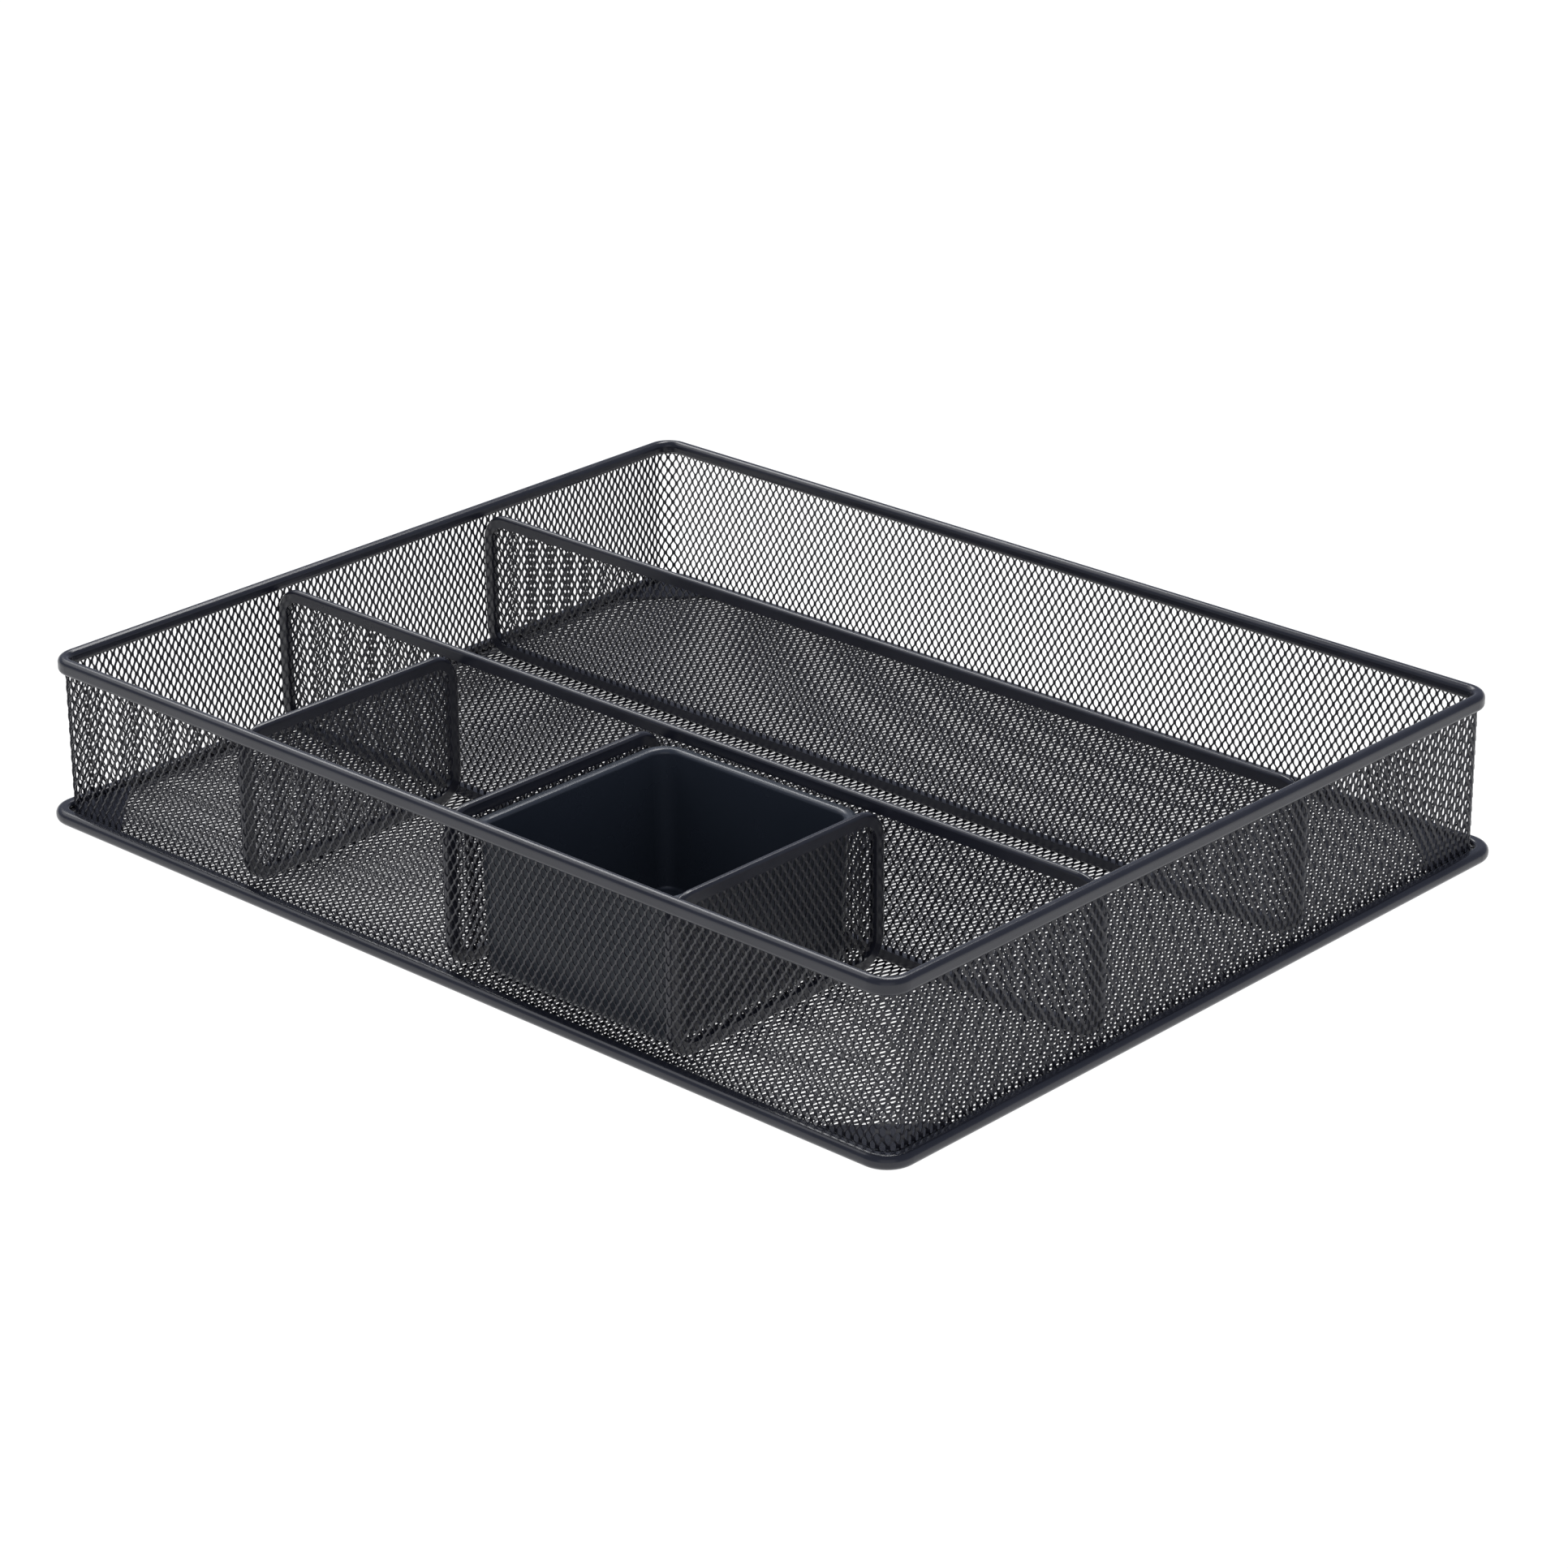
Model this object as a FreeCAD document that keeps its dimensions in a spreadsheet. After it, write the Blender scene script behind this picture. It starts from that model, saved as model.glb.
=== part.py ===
import FreeCAD, Part
import math
import os

import Sketcher

# A six-compartment drawer organizer of powder-coated expanded steel mesh.
# Frame: +Z up, +X along the long side, +Y from the front row to the rear.
# The origin is the centre of the footprint, on the surface that the tray rests on.
# Every length is in millimetres.

SIZES = {
    # Outside of the tray, measured over the bottom rim.
    "tray_length": 387.0,
    "tray_depth": 308.0,
    "tray_height": 60.2,
    # Expanded steel mesh, as the depth of its strands.
    "mesh_depth": 0.8,
    "mesh_inset": 5.5,
    "wall_corner_radius": 7.0,
    # Rolled rim round the base, closed on the edges of the floor and the walls.
    "base_rim_width": 4.8,
    "base_rim_height": 4.8,
    "base_rim_radius": 10.5,
    "base_rim_roll": 2.2,
    "base_rim_inner_roll": 1.2,
    "floor_level": 1.8,
    # Rolled rim round the top, closed on the upper edge of the walls.
    "top_rim_width": 4.4,
    "top_rim_height": 5.5,
    "top_rim_step": 0.8,
    "top_rim_roll": 2.1,
    "top_rim_leg_roll": 1.6,
    "rim_grip": 3.0,
    # Divider frames: a rolled strip bent into a rounded rectangle.
    "divider_top": 57.6,
    "frame_face": 4.3,
    "frame_thickness": 2.8,
    "frame_corner_radius": 11.0,
    "frame_roll": 1.3,
    # Where the dividers stand, from the centre of the footprint.
    "rear_divider_y": 51.8,
    "middle_divider_y": -48.7,
    "short_divider_pitch": 97.0,
    "centre_divider_x": 1.0,
    # Steel plates in the corners of the floor.
    "gusset_leg": 28.0,
    "gusset_thickness": 1.0,
    # Loose plastic bin with a lip turned outwards.
    "bin_side_gap": 1.4,
    "bin_lift": 0.2,
    "bin_top": 53.4,
    "bin_wall": 1.8,
    "bin_taper": 1.6,
    "bin_corner_radius": 8.0,
    "bin_foot_radius": 3.0,
    "lip_reach": 3.0,
    "lip_thickness": 2.2,
    "lip_roll": 1.9,
    "mouth_roll": 1.7,
}

# Edges closer than this to a level or an outline lie on it.
TOLERANCE = 0.01

doc = FreeCAD.newDocument("drawer_organizer")
sheet = doc.addObject("Spreadsheet::Sheet", "sizes")
for row, (alias, value) in enumerate(SIZES.items(), start=1):
    cell = f"B{row}"
    sheet.set(f"A{row}", alias)
    sheet.set(cell, str(value))
    sheet.setAlias(cell, alias)
doc.recompute()


def cells(expression):
    """The expression with every driving size written as a cell of the sheet."""
    words = expression.replace("(", " ( ").replace(")", " ) ").split()
    return " ".join(f"sizes.{word}" if word in SIZES else word for word in words)


def value_of(expression):
    """The number that an expression of driving sizes comes to."""
    return float(sheet.evalExpression(cells(expression)))


SUB_PARTS = []


def new_body(label):
    """An empty body, which becomes the sub-part of that name."""
    body = doc.addObject("PartDesign::Body", label)
    body.Label = label
    SUB_PARTS.append(body)
    return body


def new_sketch(body, name, plane, level="0"):
    """A sketch on one of the body's own origin planes, lifted off it by level."""
    sketch = body.newObject("Sketcher::SketchObject", name)
    found = [p for p in body.Origin.OriginFeatures if p.Role == plane]
    sketch.AttachmentSupport = [(found[0], "")]
    sketch.MapMode = "FlatFace"
    sketch.setExpression(".AttachmentOffset.Base.z", cells(level))
    return sketch


def bind(sketch, index, name, expression):
    """Names a dimension of the sketch and ties it to the sheet."""
    sketch.renameConstraint(index, name)
    sketch.setExpression(f"Constraints.{name}", cells(expression))


def add_rounded_rectangle(sketch, name, width, height, radius):
    """A rounded rectangle centred on the sketch's origin, fully constrained."""
    half_w, half_h, r = value_of(width) / 2, value_of(height) / 2, value_of(radius)
    first = sketch.GeometryCount
    normal = FreeCAD.Vector(0, 0, 1)
    corners = [(half_w, -half_h), (half_w, half_h), (-half_w, half_h), (-half_w, -half_h)]
    quarter = math.pi / 2
    for side, (x, y) in enumerate(corners):
        before = corners[side - 1]
        along = FreeCAD.Vector(x - before[0], y - before[1], 0).normalize()
        start = FreeCAD.Vector(*before, 0) + along * r
        end = FreeCAD.Vector(x, y, 0) - along * r
        sketch.addGeometry(Part.LineSegment(start, end), False)
        turn = FreeCAD.Vector(-along.y, along.x, 0)
        circle = Part.Circle(end + turn * r, normal, r)
        angle = (side - 1) * quarter
        sketch.addGeometry(Part.ArcOfCircle(circle, angle, angle + quarter), False)
    for edge in range(8):
        following = first + (edge + 1) % 8
        sketch.addConstraint(Sketcher.Constraint("Tangent", first + edge, 2, following, 1))
    for side, direction in enumerate(("Horizontal", "Vertical") * 2):
        sketch.addConstraint(Sketcher.Constraint(direction, first + 2 * side))
    for arc in (3, 5, 7):
        sketch.addConstraint(Sketcher.Constraint("Equal", first + 1, first + arc))
    sketch.addConstraint(Sketcher.Constraint("Symmetric", first, 1, first + 4, 1, -1, 1))
    index = sketch.addConstraint(
        Sketcher.Constraint("DistanceX", first + 6, 1, first + 2, 1, 2 * half_w)
    )
    bind(sketch, index, f"{name}_width", width)
    index = sketch.addConstraint(
        Sketcher.Constraint("DistanceY", first, 1, first + 4, 1, 2 * half_h)
    )
    bind(sketch, index, f"{name}_height", height)
    index = sketch.addConstraint(Sketcher.Constraint("Radius", first + 1, r))
    bind(sketch, index, f"{name}_radius", radius)


def pad(body, sketch, length):
    """Raises the sketch along its normal."""
    feature = body.newObject("PartDesign::Pad", f"{sketch.Name}_pad")
    feature.Profile = sketch
    feature.setExpression("Length", cells(length))
    return feature


def pocket(body, sketch, length, upwards):
    """Cuts the sketch out of the body, and makes sure that it cut something."""
    doc.recompute()
    before = body.Shape.Volume
    feature = body.newObject("PartDesign::Pocket", f"{sketch.Name}_cut")
    feature.Profile = sketch
    feature.Reversed = upwards
    feature.setExpression("Length", cells(length))
    doc.recompute()
    if body.Shape.Volume >= before:
        raise RuntimeError(f"{feature.Name} cuts nothing")
    return feature


def round_edges(body, radius, chosen):
    """Rounds the edges of the body that chosen() picks."""
    doc.recompute()
    base = body.Tip
    names = [f"Edge{i}" for i, e in enumerate(base.Shape.Edges, start=1) if chosen(e)]
    feature = body.newObject("PartDesign::Fillet", f"{body.Name}_round_{len(body.Group)}")
    feature.Base = (base, names)
    feature.setExpression("Radius", cells(radius))
    doc.recompute()
    return feature


def at_level(edge, axis, level):
    """True if the whole edge lies at one level along an axis (0, 1 or 2)."""
    box = edge.BoundBox
    low, high = ((box.XMin, box.XMax), (box.YMin, box.YMax), (box.ZMin, box.ZMax))[axis]
    return abs(low - level) < TOLERANCE and abs(high - level) < TOLERANCE


def on_outline(level, length, depth, inset):
    """Picks the edges at one level that run round a rectangle, inset from its sides."""

    def chosen(edge):
        box = edge.BoundBox
        from_side = length / 2 - max(abs(box.XMin), abs(box.XMax))
        from_end = depth / 2 - max(abs(box.YMin), abs(box.YMax))
        return at_level(edge, 2, level) and abs(min(from_side, from_end) - inset) < TOLERANCE

    return chosen


def round_the_tray(level, inset):
    """Picks the edges that run round the tray at one level, inset from its outside."""
    return on_outline(level, SIZES["tray_length"], SIZES["tray_depth"], inset)


def rectangle_inset(sketch, name, inset, radius):
    """A rounded rectangle that runs round the tray, inset from its outside."""
    add_rounded_rectangle(
        sketch,
        name,
        f"tray_length - 2 * ( {inset} )",
        f"tray_depth - 2 * ( {inset} )",
        radius,
    )


def ring_sketch(body, name, level, outer, outer_radius, inner, inner_radius):
    """Two rounded rectangles round the tray, one inside the other."""
    sketch = new_sketch(body, name, "XY_Plane", level)
    rectangle_inset(sketch, "outer", outer, outer_radius)
    rectangle_inset(sketch, "inner", inner, inner_radius)
    return sketch


# Faces of the wall mesh, as insets from the outside of the tray.
WALL_OUTSIDE = "mesh_inset - mesh_depth / 2"
WALL_INSIDE = "mesh_inset + mesh_depth / 2"
# Inner face of the top rim, as an inset too.
RIM_INSIDE = "mesh_inset + top_rim_width / 2"
FLANGE_LEVEL = "floor_level + mesh_depth"


def make_bottom_rim():
    """The rolled rim that the tray stands on, open inwards to take the mesh."""
    body = new_body("bottom_rim")
    inner_radius = "base_rim_radius - base_rim_width"
    section = ring_sketch(
        body, "base_section", "0", "0", "base_rim_radius", "base_rim_width", inner_radius
    )
    pad(body, section, "base_rim_height")
    # The slot runs from the inner face, so its inner outline lies beyond the rim.
    slot = ring_sketch(
        body,
        "base_slot",
        "floor_level",
        "base_rim_width - rim_grip",
        "base_rim_radius - base_rim_width + rim_grip",
        "base_rim_width + 1",
        "base_rim_radius - base_rim_width - 1",
    )
    pocket(body, slot, "2 * mesh_depth", upwards=True)
    width, top = SIZES["base_rim_width"], SIZES["base_rim_height"]
    round_edges(body, "base_rim_roll", round_the_tray(top, 0))
    round_edges(body, "base_rim_roll", round_the_tray(0, 0))
    round_edges(body, "base_rim_inner_roll", round_the_tray(top, width))
    return body


def make_top_rim():
    """The rolled rim round the top, with a longer outer leg and a slot for the wall."""
    body = new_body("top_rim")
    outside = "mesh_inset - top_rim_width / 2"
    outside_radius = "wall_corner_radius + top_rim_width / 2"
    inside_radius = "wall_corner_radius - top_rim_width / 2"
    underside = "tray_height - top_rim_height"
    section = ring_sketch(
        body, "top_section", underside, outside, outside_radius, RIM_INSIDE, inside_radius
    )
    pad(body, section, "top_rim_height")
    step = ring_sketch(
        body, "top_step", underside, "mesh_inset", "wall_corner_radius",
        f"{RIM_INSIDE} + 1", "wall_corner_radius - top_rim_width / 2 - 1",
    )
    pocket(body, step, "top_rim_step", upwards=True)
    slot = ring_sketch(
        body, "top_slot", underside,
        WALL_OUTSIDE, "wall_corner_radius + mesh_depth / 2",
        WALL_INSIDE, "wall_corner_radius - mesh_depth / 2",
    )
    pocket(body, slot, "rim_grip", upwards=True)
    outer_foot = value_of(underside)
    inner_foot = outer_foot + SIZES["top_rim_step"]
    outer_inset, inner_inset = value_of(outside), value_of(RIM_INSIDE)
    round_edges(body, "top_rim_roll", lambda e: at_level(e, 2, SIZES["tray_height"]))
    round_edges(body, "top_rim_leg_roll", round_the_tray(outer_foot, outer_inset))
    round_edges(body, "top_rim_leg_roll", round_the_tray(inner_foot, inner_inset))
    return body


def make_floor_mesh():
    """The flat sheet of expanded mesh, gripped by the bottom rim all round."""
    body = new_body("floor_mesh")
    outline = new_sketch(body, "floor_outline", "XY_Plane", "floor_level")
    inset = "base_rim_width - rim_grip"
    rectangle_inset(outline, "edge", inset, "base_rim_radius - base_rim_width + rim_grip")
    pad(body, outline, "mesh_depth")
    return body


def make_wall_mesh():
    """One band of mesh bent round four corners, with a flange turned out at its foot."""
    body = new_body("wall_mesh")
    band = ring_sketch(
        body, "band", FLANGE_LEVEL,
        WALL_OUTSIDE, "wall_corner_radius + mesh_depth / 2",
        WALL_INSIDE, "wall_corner_radius - mesh_depth / 2",
    )
    pad(body, band, "tray_height - top_rim_height + rim_grip - floor_level - mesh_depth")
    flange = ring_sketch(
        body, "flange", FLANGE_LEVEL,
        "base_rim_width - rim_grip", "base_rim_radius - base_rim_width + rim_grip",
        "mesh_inset", "wall_corner_radius",
    )
    pad(body, flange, "mesh_depth")
    return body


FRAME_FOOT = "( floor_level + mesh_depth )"
FRAME_HEIGHT = "( divider_top - floor_level - mesh_depth )"


def make_divider(name, plane, length, place):
    """A divider: a rolled frame bent into a rounded rectangle, and the mesh it holds.

    The frame is drawn upright on plane, centred, and place puts it in the tray.
    """
    frame = new_body(f"{name}_divider_frame")
    outline = new_sketch(frame, f"{name}_frame_outline", plane, "- frame_thickness / 2")
    add_rounded_rectangle(outline, "outer", length, FRAME_HEIGHT, "frame_corner_radius")
    opening_length = f"( {length} ) - 2 * frame_face"
    opening_height = f"{FRAME_HEIGHT} - 2 * frame_face"
    opening_radius = "frame_corner_radius - frame_face"
    add_rounded_rectangle(outline, "opening", opening_length, opening_height, opening_radius)
    pad(frame, outline, "frame_thickness")
    axis = {"XZ_Plane": 1, "YZ_Plane": 0}[plane]
    half = value_of(length) / 2
    half_height = value_of(FRAME_HEIGHT) / 2
    face = SIZES["frame_thickness"] / 2

    def outer_edge(edge):
        box = edge.BoundBox
        spans = ((box.XMin, box.XMax), (box.YMin, box.YMax))
        low, high = spans[1 - axis]
        from_side = half - max(abs(low), abs(high))
        from_end = half_height - max(abs(box.ZMin), abs(box.ZMax))
        on_face = at_level(edge, axis, face) or at_level(edge, axis, -face)
        return on_face and min(from_side, from_end) < TOLERANCE

    round_edges(frame, "frame_roll", outer_edge)

    mesh = new_body(f"{name}_divider_mesh")
    panel = new_sketch(mesh, f"{name}_panel_outline", plane, "- mesh_depth / 2")
    add_rounded_rectangle(panel, "panel", opening_length, opening_height, opening_radius)
    pad(mesh, panel, "mesh_depth")
    for body in (frame, mesh):
        body.setExpression(".Placement.Base.x", cells(place[0]))
        body.setExpression(".Placement.Base.y", cells(place[1]))
        body.setExpression(".Placement.Base.z", cells(f"{FRAME_FOOT} + {FRAME_HEIGHT} / 2"))
    return frame, mesh


def make_dividers():
    """Two long dividers across the tray, and three short ones in the front row."""
    long_length = f"tray_length - 2 * ( {WALL_INSIDE} )"
    for name in ("rear", "middle"):
        make_divider(name, "XZ_Plane", long_length, ("0", f"{name}_divider_y"))
    front_wall = f"( - tray_depth / 2 + {WALL_INSIDE} )"
    row_back = "( middle_divider_y - frame_thickness / 2 )"
    short_length = f"{row_back} - {front_wall}"
    row_centre = f"( {row_back} + {front_wall} ) / 2"
    for name, steps in (("left", "-1"), ("centre", "0"), ("right", "1")):
        place_x = f"centre_divider_x + ( {steps} ) * short_divider_pitch"
        make_divider(name, "YZ_Plane", short_length, (place_x, row_centre))


def make_gussets():
    """A triangular steel plate in each corner, lying on the foot of the walls."""
    half_x = f"tray_length / 2 - ( {WALL_INSIDE} )"
    half_y = f"tray_depth / 2 - ( {WALL_INSIDE} )"
    upright = FreeCAD.Vector(0, 0, 1)
    corners = {
        "front_left": (-1, -1),
        "front_right": (1, -1),
        "rear_right": (1, 1),
        "rear_left": (-1, 1),
    }
    for quarter_turns, (name, (side_x, side_y)) in enumerate(corners.items()):
        body = new_body(f"{name}_gusset")
        outline = new_sketch(body, f"{name}_gusset_outline", "XY_Plane")
        add_gusset_outline(outline)
        pad(body, outline, "gusset_thickness")
        turned = FreeCAD.Rotation(upright, 90 * quarter_turns)
        body.Placement = FreeCAD.Placement(FreeCAD.Vector(), turned)
        body.setExpression(".Placement.Base.x", cells(f"( {side_x} ) * ( {half_x} )"))
        body.setExpression(".Placement.Base.y", cells(f"( {side_y} ) * ( {half_y} )"))
        body.setExpression(".Placement.Base.z", cells(FLANGE_LEVEL))


def add_gusset_outline(sketch):
    """Two legs along the walls, joined by the wall's bend and by a straight edge."""
    bend_radius = "wall_corner_radius - mesh_depth / 2"
    leg, bend = SIZES["gusset_leg"], value_of(bend_radius)
    along_x, along_y = FreeCAD.Vector(leg, 0, 0), FreeCAD.Vector(0, leg, 0)
    bend_x, bend_y = FreeCAD.Vector(bend, 0, 0), FreeCAD.Vector(0, bend, 0)
    circle = Part.Circle(FreeCAD.Vector(bend, bend, 0), FreeCAD.Vector(0, 0, 1), bend)
    front_leg = sketch.addGeometry(Part.LineSegment(bend_x, along_x), False)
    edge = sketch.addGeometry(Part.LineSegment(along_x, along_y), False)
    side_leg = sketch.addGeometry(Part.LineSegment(along_y, bend_y), False)
    corner = sketch.addGeometry(Part.ArcOfCircle(circle, math.pi, 1.5 * math.pi), False)
    x_axis, y_axis = -1, -2
    for rule in (
        ("Coincident", front_leg, 2, edge, 1),
        ("Coincident", edge, 2, side_leg, 1),
        ("Tangent", side_leg, 2, corner, 1),
        ("Tangent", corner, 2, front_leg, 1),
        ("Horizontal", front_leg),
        ("Vertical", side_leg),
        ("PointOnObject", front_leg, 2, x_axis),
        ("PointOnObject", side_leg, 1, y_axis),
    ):
        sketch.addConstraint(Sketcher.Constraint(*rule))
    index = sketch.addConstraint(Sketcher.Constraint("DistanceX", -1, 1, front_leg, 2, leg))
    bind(sketch, index, "front_leg", "gusset_leg")
    index = sketch.addConstraint(Sketcher.Constraint("DistanceY", -1, 1, side_leg, 1, leg))
    bind(sketch, index, "side_leg", "gusset_leg")
    index = sketch.addConstraint(Sketcher.Constraint("Radius", corner, bend))
    bind(sketch, index, "bend_radius", bend_radius)


BIN_LENGTH = "( short_divider_pitch - frame_thickness - 2 * bin_side_gap )"
# The bin has to pass the top rim, which stands further in than the wall under it.
BIN_ROW_DEPTH = f"( middle_divider_y - frame_thickness / 2 + tray_depth / 2 - ( {RIM_INSIDE} ) )"
BIN_DEPTH = f"( {BIN_ROW_DEPTH} - 2 * bin_side_gap )"
BIN_FOOT = "( floor_level + mesh_depth + bin_lift )"
BIN_HEIGHT = f"( bin_top - {BIN_FOOT} )"


def bin_outline(body, name, level, inset, radius):
    """The bin's outline at one level, inset from the edge of its lip."""
    sketch = new_sketch(body, name, "XY_Plane", level)
    add_rounded_rectangle(
        sketch, "outline", f"{BIN_LENGTH} - 2 * ( {inset} )", f"{BIN_DEPTH} - 2 * ( {inset} )", radius
    )
    return sketch


def make_bin():
    """A moulded bin: tapering walls, round corners and a lip turned outwards."""
    body = new_body("bin")
    brim = bin_outline(body, "bin_brim", BIN_HEIGHT, "lip_reach", "bin_corner_radius")
    walls = pad(body, brim, BIN_HEIGHT)
    walls.Reversed = True
    walls.setExpression("TaperAngle", cells("- bin_taper"))
    round_edges(body, "bin_foot_radius", lambda e: at_level(e, 2, 0))
    lip = bin_outline(
        body, "bin_lip", f"{BIN_HEIGHT} - lip_thickness", "0", "bin_corner_radius + lip_reach"
    )
    pad(body, lip, "lip_thickness")
    top = value_of(BIN_HEIGHT)
    length, depth = value_of(BIN_LENGTH), value_of(BIN_DEPTH)
    round_edges(body, "lip_roll", on_outline(top, length, depth, 0))
    mouth_inset = "lip_reach + bin_wall"
    mouth = bin_outline(body, "bin_mouth", BIN_HEIGHT, mouth_inset, "bin_corner_radius - bin_wall")
    hollow = pocket(body, mouth, f"{BIN_HEIGHT} - bin_wall", upwards=False)
    hollow.setExpression("TaperAngle", cells("- bin_taper"))
    round_edges(body, "mouth_roll", on_outline(top, length, depth, value_of(mouth_inset)))
    round_edges(body, "bin_foot_radius - bin_wall", lambda e: at_level(e, 2, SIZES["bin_wall"]))
    centre_y = f"middle_divider_y - frame_thickness / 2 - {BIN_ROW_DEPTH} / 2"
    body.setExpression(".Placement.Base.x", cells("centre_divider_x + short_divider_pitch / 2"))
    body.setExpression(".Placement.Base.y", cells(centre_y))
    body.setExpression(".Placement.Base.z", cells(BIN_FOOT))
    return body


make_bottom_rim()
make_top_rim()
make_floor_mesh()
make_wall_mesh()
make_dividers()
make_gussets()
make_bin()
doc.recompute()

for item in doc.Objects:
    failed = {"Invalid", "Error"} & set(item.State)
    if failed:
        raise RuntimeError(f"{item.Name} is {failed}")
for body in SUB_PARTS:
    if body.Shape.isNull() or not body.Shape.isValid() or len(body.Shape.Solids) != 1:
        raise RuntimeError(f"{body.Label} isn't one valid solid")

os.makedirs("parts", exist_ok=True)
for body in SUB_PARTS:
    body.Shape.exportStep(os.path.join("parts", f"{body.Label}.step"))
    box = body.Shape.BoundBox
    size = f"{box.XLength:6.1f} x {box.YLength:6.1f} x {box.ZLength:5.1f} mm"
    print(f"{body.Label:24s} {body.Shape.Volume:10.0f} mm3  {size}  foot at {box.ZMin:5.1f} mm")
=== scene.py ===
"""The looks of a mesh drawer organizer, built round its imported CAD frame.

The sheets of expanded steel mesh are made here strand by strand, in place of the CAD's plain
plates. The rolled rims, divider frames, gussets and bin keep their CAD shapes and get their
finishes here. All lengths are in metres and all angles in degrees.
"""

import math

import bpy
import numpy as np
from mathutils import Matrix, Vector


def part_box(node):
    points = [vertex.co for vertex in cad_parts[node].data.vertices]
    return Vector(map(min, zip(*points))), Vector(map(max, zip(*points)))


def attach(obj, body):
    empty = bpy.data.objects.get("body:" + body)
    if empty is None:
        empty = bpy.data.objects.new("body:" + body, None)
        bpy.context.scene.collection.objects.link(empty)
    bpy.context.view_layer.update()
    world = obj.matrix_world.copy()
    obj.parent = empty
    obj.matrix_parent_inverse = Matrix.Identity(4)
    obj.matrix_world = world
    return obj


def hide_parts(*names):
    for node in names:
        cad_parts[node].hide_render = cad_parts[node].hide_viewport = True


# Expanded steel mesh: a slit sheet pulled open into diamonds, which leaves its strands leaning
DIAMOND_SHORT = 0.00322
DIAMOND_LONG = 0.00512
STRAND_WIDTH = 0.00070
STRAND_THICKNESS = 0.00036
WALL_LEAN = -18
FLOOR_LEAN = 20
BOND_LENGTH = 0.0012

# Where the sheets lie: the walls' distance in from the bottom rim's outside, their bends, the
# reach of the flange at their foot, the corners of the floor sheet, how far the walls go up into
# the top rim, and how far at most a divider's sheet goes into its frame
WALL_INSET = 0.0059
WALL_CORNER_RADIUS = 0.0066
WALL_FOOT_RADIUS = 0.0012
FLANGE_REACH = 0.0036
FLOOR_CORNER_RADIUS = 0.008
HELD_IN_RIM = 0.0030
HELD_IN_FRAME = 0.0012

# The floor sheet is made in this many pieces, whose joins don't show
FLOOR_STRIPS = 4
# Points round a corner of the walls, and down the bend at their foot
CORNER_POINTS = 31
BEND_POINTS = 4

# Finishes: the darker and the lighter colour, the lowest and the highest roughness
COAT_COLOURS = ((0.018, 0.019, 0.027), (0.024, 0.025, 0.034))
COAT_ROUGHNESS = (0.19, 0.25)
STRAND_COLOURS = ((0.012, 0.012, 0.017), (0.020, 0.020, 0.027))
STRAND_ROUGHNESS = (0.30, 0.40)
PLASTIC_COLOURS = ((0.038, 0.046, 0.058), (0.041, 0.049, 0.062))
PLASTIC_ROUGHNESS = (0.22, 0.29)
USUAL_IOR = 1.5
# Painted shade: the gussets' copy of the powder coat has a lower IOR, so it reflects less and they look
# darker, as if in shade
PAINTED_SHADE_IOR = 1.3

# Sizes of what varies over a finish
HANDLING_CLOUDS = 0.02
ORANGE_PEEL = 0.0009
COAT_RUNS = 0.0025
MOULDING_CLOUDS = 0.03
SPARK_GRAIN = 0.00035
# Relief of the peel and the grain, and how strongly each one shows
RELIEF = 0.00002
PEEL_STRENGTH = 0.35
GRAIN_STRENGTH = 0.5
# Octaves in the clouds, and in everything else
CLOUD_DETAIL = 4
FINE_DETAIL = 2
# Stretches of the noise over which a colour and a roughness change
COLOUR_STRETCH = (0.35, 0.65)
ROUGHNESS_STRETCH = (0.3, 0.7)

# Studio: the floor glows just enough to look white, and the room is dim and slightly blue
FLOOR_SIZE = 14
FLOOR_COLOUR = (0.05, 0.05, 0.05, 1)
FLOOR_ROUGHNESS = 0.9
FLOOR_GLOW = 1.0
HORIZON_COLOUR = (0.85, 0.86, 0.88, 1)
ROOM_COLOUR = (0.272, 0.298, 0.384, 1)
# The horizon's paleness ends at this sine of the angle above it
HORIZON_REACH = 0.16
# Each light's place, width, height and power in watts
LIGHTS = {
    "key": ((-0.31, 0.76, 1.6), 0.7, 0.7, 12),
    "strip": ((-1.12, 0.6, 1.26), 1.0, 0.35, 6),
    "fill": ((-1.6, -0.1, 1.6), 2.2, 1.2, 11),
    "front": ((1.9, -2.0, 1.3), 2.6, 2.2, 7),
}

# Camera of the photograph
CAMERA_PLACE = (0.9924, -1.0579, 0.6499)
CAMERA_TURN = 42.98
CAMERA_DOWN = 23.49
CAMERA_ROLL = -0.38
CAMERA_LENS = 107.78
CAMERA_SHIFT = 0.0037
CAMERA_REACH = 30


def strand_line(index, start, end, extra):
    """Stations along one strand and, at each, how far it has crossed from left to right."""
    half = DIAMOND_LONG / 2
    steps = np.arange(math.floor(start / half) - 1, math.ceil(end / half) + 2)
    bond_ends = (steps * half - BOND_LENGTH / 2, steps * half + BOND_LENGTH / 2)
    stations = np.stack(bond_ends, axis=1).ravel()
    crossed = np.repeat((steps + index) % 2, 2)
    inner = [s for s in (*stations, *extra) if start < s < end]
    along = np.array(sorted({start, end, *inner}))
    return along, np.interp(along, stations, crossed)


def strand_corners(index, pitch, lean, along, crossed):
    """The four corners of a strand's leaning section at each station, as (across, along, out) points."""
    lean = math.radians(lean)
    wide = np.array([math.cos(lean), 0, -math.sin(lean)]) * STRAND_WIDTH / 2
    thick = np.array([math.sin(lean), 0, math.cos(lean)]) * STRAND_THICKNESS / 2
    left = np.array([index * pitch, 0, 0]) + wide
    right = np.array([(index + 1) * pitch, 0, 0]) - wide
    middle = left + (right - left) * crossed[:, None]
    middle[:, 1] = along
    offsets = (thick - wide, thick + wide, wide - thick, -thick - wide)
    return np.stack([middle + offset for offset in offsets], axis=1)


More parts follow.
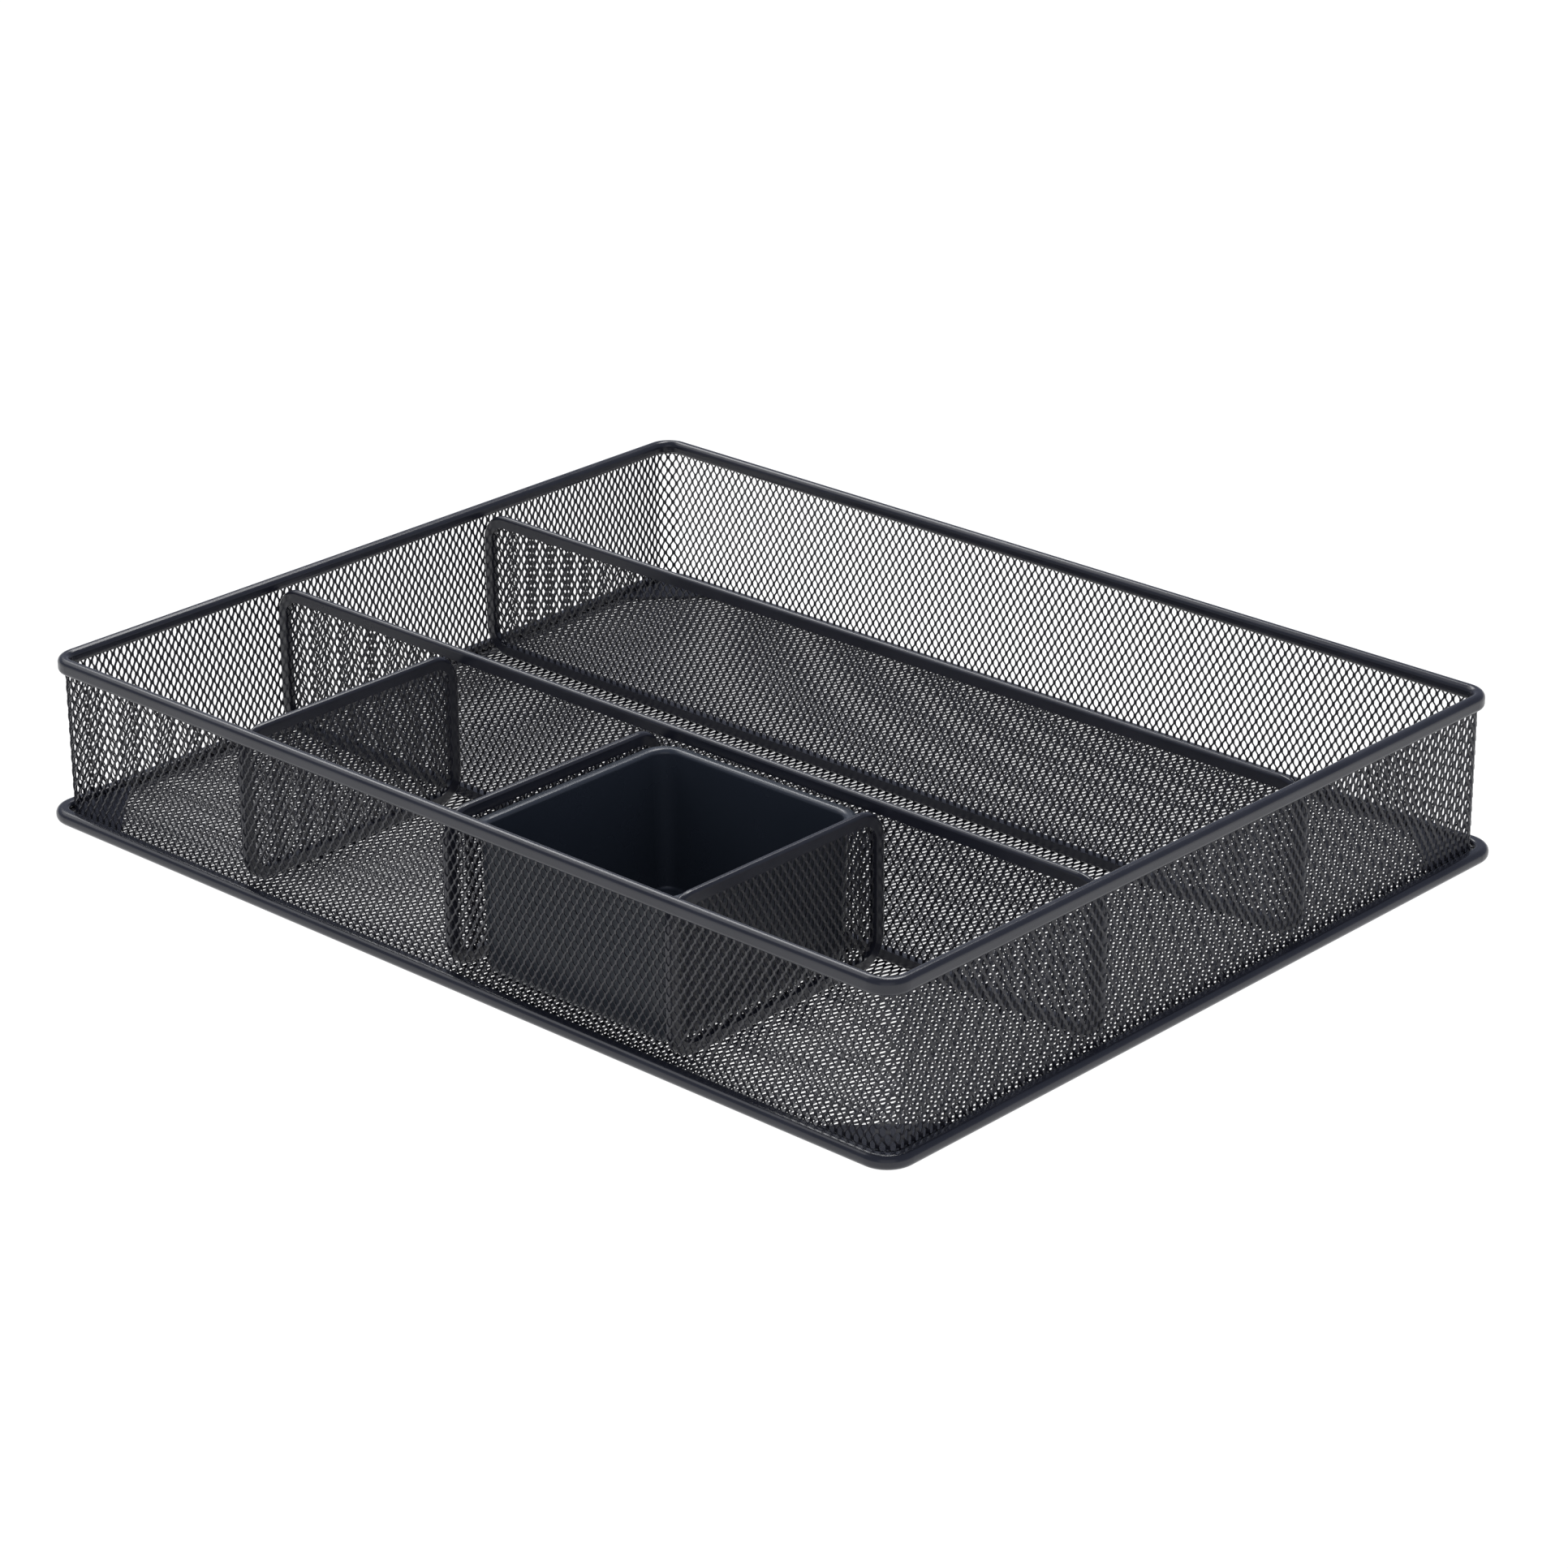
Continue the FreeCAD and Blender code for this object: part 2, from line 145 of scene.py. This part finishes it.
def strand_faces(stations, first):
    """Quads round a strand with this many stations, closed at both ends."""
    ring = np.arange(4)
    low = first + 4 * np.arange(stations - 1)[:, None]
    after = (ring + 1) % 4
    sides = np.stack([low + ring, low + after, low + after + 4, low + ring + 4], axis=-1)
    ends = [first + ring[::-1], first + 4 * (stations - 1) + ring]
    return np.concatenate([sides.reshape(-1, 4), ends])


def expanded_mesh(name, indices, pitch, lean, span, place, material, replaced, extra=()):
    """One sheet of expanded mesh.

    The span function gives a strand's two ends, and place puts the flat sheet's points in space.
    """
    points, faces, count = [], [], 0
    for index in indices:
        start, end = span((index + 0.5) * pitch)
        if end - start < DIAMOND_LONG / 2:
            continue
        along, crossed = strand_line(index, start, end, extra)
        points.append(strand_corners(index, pitch, lean, along, crossed).reshape(-1, 3))
        faces.append(strand_faces(len(along), count))
        count += len(points[-1])
    mesh = bpy.data.meshes.new(name)
    mesh.from_pydata(place(np.concatenate(points)), [], np.concatenate(faces))
    mesh.materials.append(material)
    piece = bpy.data.objects.new(name, mesh)
    bpy.context.scene.collection.objects.link(piece)
    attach(piece, "tray")
    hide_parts(replaced)


def make_floor(material):
    """The floor sheet, in strips across the tray. Its strands run from front to back."""
    low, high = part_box("floor_mesh")
    level = (low.z + high.z) / 2
    pitch = DIAMOND_SHORT / 2
    half_count = math.floor(high.x / pitch)

    def span(across):
        into_corner = max(0.0, abs(across) - (high.x - FLOOR_CORNER_RADIUS))
        reach = math.sqrt(max(0.0, FLOOR_CORNER_RADIUS**2 - into_corner**2))
        cut = FLOOR_CORNER_RADIUS - reach
        return low.y + cut, high.y - cut

    def place(points):
        return points + np.array([0, 0, level])

    strips = np.array_split(np.arange(-half_count, half_count), FLOOR_STRIPS)
    for number, strip in enumerate(strips, 1):
        name = f"floor_strands_{number}"
        expanded_mesh(name, strip, pitch, FLOOR_LEAN, span, place, material, "floor_mesh")


def rounded_outline(half_x, half_y, radius):
    """Distance, place and outward direction round a rounded rectangle.

    The outline starts and ends in the middle of its front left corner.
    """
    places, directions = [], []
    corners = [(-1, -1), (1, -1), (1, 1), (-1, 1), (-1, -1)]
    for number, (x_side, y_side) in enumerate(corners):
        # The first corner faces -135 degrees, and each next one is a quarter turn on
        middle = 90 * number - 135
        turned = np.radians(np.linspace(middle - 45, middle + 45, CORNER_POINTS))
        facing = np.stack([np.cos(turned), np.sin(turned)], axis=1)
        centre = np.array([x_side * (half_x - radius), y_side * (half_y - radius)])
        places.append(centre + radius * facing)
        directions.append(facing)
    half_corner = CORNER_POINTS // 2
    places = np.concatenate(places)[half_corner:-half_corner]
    directions = np.concatenate(directions)[half_corner:-half_corner]
    steps = np.hypot(*np.diff(places, axis=0).T)
    return np.concatenate([[0], np.cumsum(steps)]), places, directions


def make_walls(material):
    """The band of mesh round the tray, turned outwards at its foot.

    It is made in four equal lengths from the front left corner on. Each one is named after the
    side that it mostly covers.
    """
    rim_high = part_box("bottom_rim")[1]
    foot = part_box("wall_mesh")[0].z + STRAND_WIDTH / 2
    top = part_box("top_rim")[0].z + HELD_IN_RIM
    half_x, half_y = rim_high.x - WALL_INSET, rim_high.y - WALL_INSET
    distance, places, directions = rounded_outline(half_x, half_y, WALL_CORNER_RADIUS)
    # An even number of strands, so that the diamonds meet where the band closes
    count = 2 * round(distance[-1] / DIAMOND_SHORT)
    pitch = distance[-1] / count
    bend = WALL_FOOT_RADIUS * math.pi / 2

    def place(points):
        across, along, out = points.T
        angle = np.clip(along / WALL_FOOT_RADIUS, 0, math.pi / 2)
        flange = np.clip(-along, 0, None)
        rise = np.clip(along - bend, 0, None)
        outwards = WALL_FOOT_RADIUS * (1 - np.sin(angle)) + flange + out * np.sin(angle)
        height = foot + WALL_FOOT_RADIUS * (1 - np.cos(angle)) + rise + out * np.cos(angle)
        x, y, facing_x, facing_y = (
            np.interp(across, distance, column) for column in (*places.T, *directions.T)
        )
        return np.stack([x + facing_x * outwards, y + facing_y * outwards, height], axis=1)

    ends = (-FLANGE_REACH, top - foot - WALL_FOOT_RADIUS + bend)
    extra = np.linspace(0, bend, BEND_POINTS)
    sides = ("front", "right", "rear", "left")
    for side, strip in zip(sides, np.array_split(np.arange(count), len(sides))):
        expanded_mesh(
            f"{side}_wall_strands", strip, pitch, WALL_LEAN,
            lambda across: ends, place, material, "wall_mesh", extra,
        )


def make_divider(name, material):
    """The sheet of mesh in one divider, with its edges held in the frame round it."""
    low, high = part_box(f"{name}_divider_mesh")
    centre = (low + high) / 2
    size = high - low
    along_x = size.x > size.y
    width = max(size.x, size.y) + 2 * HELD_IN_FRAME
    height = size.z + 2 * HELD_IN_FRAME
    pitch = DIAMOND_SHORT / 2
    half_count = math.floor(width / 2 / pitch)

    def place(points):
        across, along, out = points.T
        if along_x:
            return np.stack([centre.x + across, centre.y - out, centre.z + along], axis=1)
        return np.stack([centre.x + out, centre.y + across, centre.z + along], axis=1)

    span = (-height / 2, height / 2)
    expanded_mesh(
        f"{name}_divider_strands", np.arange(-half_count, half_count), pitch, WALL_LEAN,
        lambda across: span, place, material, f"{name}_divider_mesh",
    )


def new_material(name, ior):
    """A node material with its shader, its node tree and a point in metres on the object."""
    material = bpy.data.materials.new(name)
    material.use_nodes = True
    tree = material.node_tree
    shader = tree.nodes["Principled BSDF"]
    shader.inputs["IOR"].default_value = ior
    point = tree.nodes.new("ShaderNodeTexCoord").outputs["Object"]
    return material, tree, shader, point


def noise(tree, point, grain, detail=FINE_DETAIL):
    """Noise whose lumps are about this many metres across."""
    node = tree.nodes.new("ShaderNodeTexNoise")
    node.inputs["Scale"].default_value = 1 / grain
    node.inputs["Detail"].default_value = detail
    tree.links.new(point, node.inputs["Vector"])
    return node.outputs["Fac"]


def blend_colours(tree, factor, first, second):
    """A ramp between two colours."""
    ramp = tree.nodes.new("ShaderNodeValToRGB")
    for stop, position, colour in zip(ramp.color_ramp.elements, COLOUR_STRETCH, (first, second)):
        stop.position = position
        stop.color = (*colour, 1)
    tree.links.new(factor, ramp.inputs["Fac"])
    return ramp.outputs["Color"]


def blend_values(tree, factor, low, high):
    """A number that runs from low to high as the factor crosses its stretch."""
    node = tree.nodes.new("ShaderNodeMapRange")
    sockets = ("From Min", "From Max", "To Min", "To Max")
    for socket, value in zip(sockets, (*ROUGHNESS_STRETCH, low, high)):
        node.inputs[socket].default_value = value
    tree.links.new(factor, node.inputs["Value"])
    return node.outputs["Result"]


def finish(tree, shader, factor, colours, roughness):
    """Colour and roughness that both follow one factor."""
    tree.links.new(blend_colours(tree, factor, *colours), shader.inputs["Base Color"])
    tree.links.new(blend_values(tree, factor, *roughness), shader.inputs["Roughness"])


def bump(tree, shader, height, distance, strength):
    """Raises the surface by distance metres."""
    node = tree.nodes.new("ShaderNodeBump")
    node.inputs["Distance"].default_value = distance
    node.inputs["Strength"].default_value = strength
    tree.links.new(height, node.inputs["Height"])
    tree.links.new(node.outputs["Normal"], shader.inputs["Normal"])


def powder_coat(name, ior):
    """Black powder coat on smooth steel: orange peel, and slight cloudiness from handling."""
    material, tree, shader, point = new_material(name, ior)
    clouds = noise(tree, point, HANDLING_CLOUDS, CLOUD_DETAIL)
    peel = noise(tree, point, ORANGE_PEEL)
    finish(tree, shader, clouds, COAT_COLOURS, COAT_ROUGHNESS)
    bump(tree, shader, peel, RELIEF, PEEL_STRENGTH)
    return material


def mesh_coat():
    """The coat on the mesh's strands, whose colour and gloss change where it has run."""
    material, tree, shader, point = new_material("mesh_coat", USUAL_IOR)
    finish(tree, shader, noise(tree, point, COAT_RUNS), STRAND_COLOURS, STRAND_ROUGHNESS)
    return material


def moulded_plastic():
    """Black moulded plastic with a fine spark-eroded grain."""
    material, tree, shader, point = new_material("moulded_plastic", USUAL_IOR)
    clouds = noise(tree, point, MOULDING_CLOUDS, CLOUD_DETAIL)
    grain = noise(tree, point, SPARK_GRAIN)
    finish(tree, shader, clouds, PLASTIC_COLOURS, PLASTIC_ROUGHNESS)
    bump(tree, shader, grain, RELIEF, GRAIN_STRENGTH)
    return material


def give(node, material):
    """Gives a CAD node its finish."""
    node.data.materials.clear()
    node.data.materials.append(material)


def make_studio():
    """A pale glowing floor in a dim room, with soft lights round the object."""
    bpy.ops.mesh.primitive_plane_add(size=FLOOR_SIZE)
    floor = bpy.context.object
    floor.name = "studio_floor"
    material, _, shader, _ = new_material("studio_floor", USUAL_IOR)
    shader.inputs["Base Color"].default_value = FLOOR_COLOUR
    shader.inputs["Roughness"].default_value = FLOOR_ROUGHNESS
    shader.inputs["Emission Color"].default_value = (1, 1, 1, 1)
    shader.inputs["Emission Strength"].default_value = FLOOR_GLOW
    give(floor, material)

    world = bpy.data.worlds.new("studio")
    world.use_nodes = True
    light_room(world.node_tree)
    bpy.context.scene.world = world
    for name, (place, width, height, power) in LIGHTS.items():
        soft_light(name, place, width, height, power)


def light_room(tree):
    """A dim, slightly blue room that pales towards the horizon, as a studio's backdrop does."""
    direction = tree.nodes.new("ShaderNodeTexCoord").outputs["Generated"]
    split = tree.nodes.new("ShaderNodeSeparateXYZ")
    tree.links.new(direction, split.inputs["Vector"])
    ramp = tree.nodes.new("ShaderNodeValToRGB")
    ramp.color_ramp.elements[0].position = 0.0
    ramp.color_ramp.elements[0].color = HORIZON_COLOUR
    ramp.color_ramp.elements[1].position = HORIZON_REACH
    ramp.color_ramp.elements[1].color = ROOM_COLOUR
    tree.links.new(split.outputs["Z"], ramp.inputs["Fac"])
    background = tree.nodes["Background"]
    tree.links.new(ramp.outputs["Color"], background.inputs["Color"])
    background.inputs["Strength"].default_value = 1.0


def soft_light(name, place, width, height, power):
    """A soft light that faces the object."""
    data = bpy.data.lights.new(name, "AREA")
    data.shape = "RECTANGLE"
    data.size = width
    data.size_y = height
    data.energy = power
    light = bpy.data.objects.new(name, data)
    light.location = place
    light.rotation_euler = (-Vector(place)).to_track_quat("-Z", "Y").to_euler()
    bpy.context.scene.collection.objects.link(light)


def make_camera():
    """The camera at the photograph's place and angle."""
    data = bpy.data.cameras.new("camera")
    data.lens = CAMERA_LENS
    data.shift_x = CAMERA_SHIFT
    data.clip_end = CAMERA_REACH
    camera = bpy.data.objects.new("camera", data)
    turn = Matrix.Rotation(math.radians(CAMERA_TURN), 4, "Z")
    down = Matrix.Rotation(math.radians(90 - CAMERA_DOWN), 4, "X")
    roll = Matrix.Rotation(math.radians(CAMERA_ROLL), 4, "Z")
    camera.matrix_world = Matrix.Translation(CAMERA_PLACE) @ turn @ down @ roll
    bpy.context.scene.collection.objects.link(camera)
    bpy.context.scene.camera = camera
    bpy.context.scene.view_settings.view_transform = "Standard"


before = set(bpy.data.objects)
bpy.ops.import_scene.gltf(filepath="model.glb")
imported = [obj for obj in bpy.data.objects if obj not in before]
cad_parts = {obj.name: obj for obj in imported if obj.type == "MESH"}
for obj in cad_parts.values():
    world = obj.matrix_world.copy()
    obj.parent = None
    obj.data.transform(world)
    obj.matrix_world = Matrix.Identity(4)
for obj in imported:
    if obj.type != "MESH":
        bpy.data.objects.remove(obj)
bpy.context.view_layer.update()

rolled_coat = powder_coat("rolled_powder_coat", USUAL_IOR)
# Painted shade: a less reflective copy of the same powder coat, which makes the gussets look darker
painted_shade_coat = powder_coat("painted_shade_powder_coat", PAINTED_SHADE_IOR)
strands = mesh_coat()
plastic = moulded_plastic()
for name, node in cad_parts.items():
    if name == "bin":
        give(node, plastic)
    elif name.endswith("_gusset"):
        # The gussets get the painted-shade copy of the coat, which reflects less
        give(node, painted_shade_coat)
    else:
        give(node, rolled_coat)
make_floor(strands)
make_walls(strands)
for name in ("rear", "middle", "left", "centre", "right"):
    make_divider(name, strands)
make_studio()
make_camera()
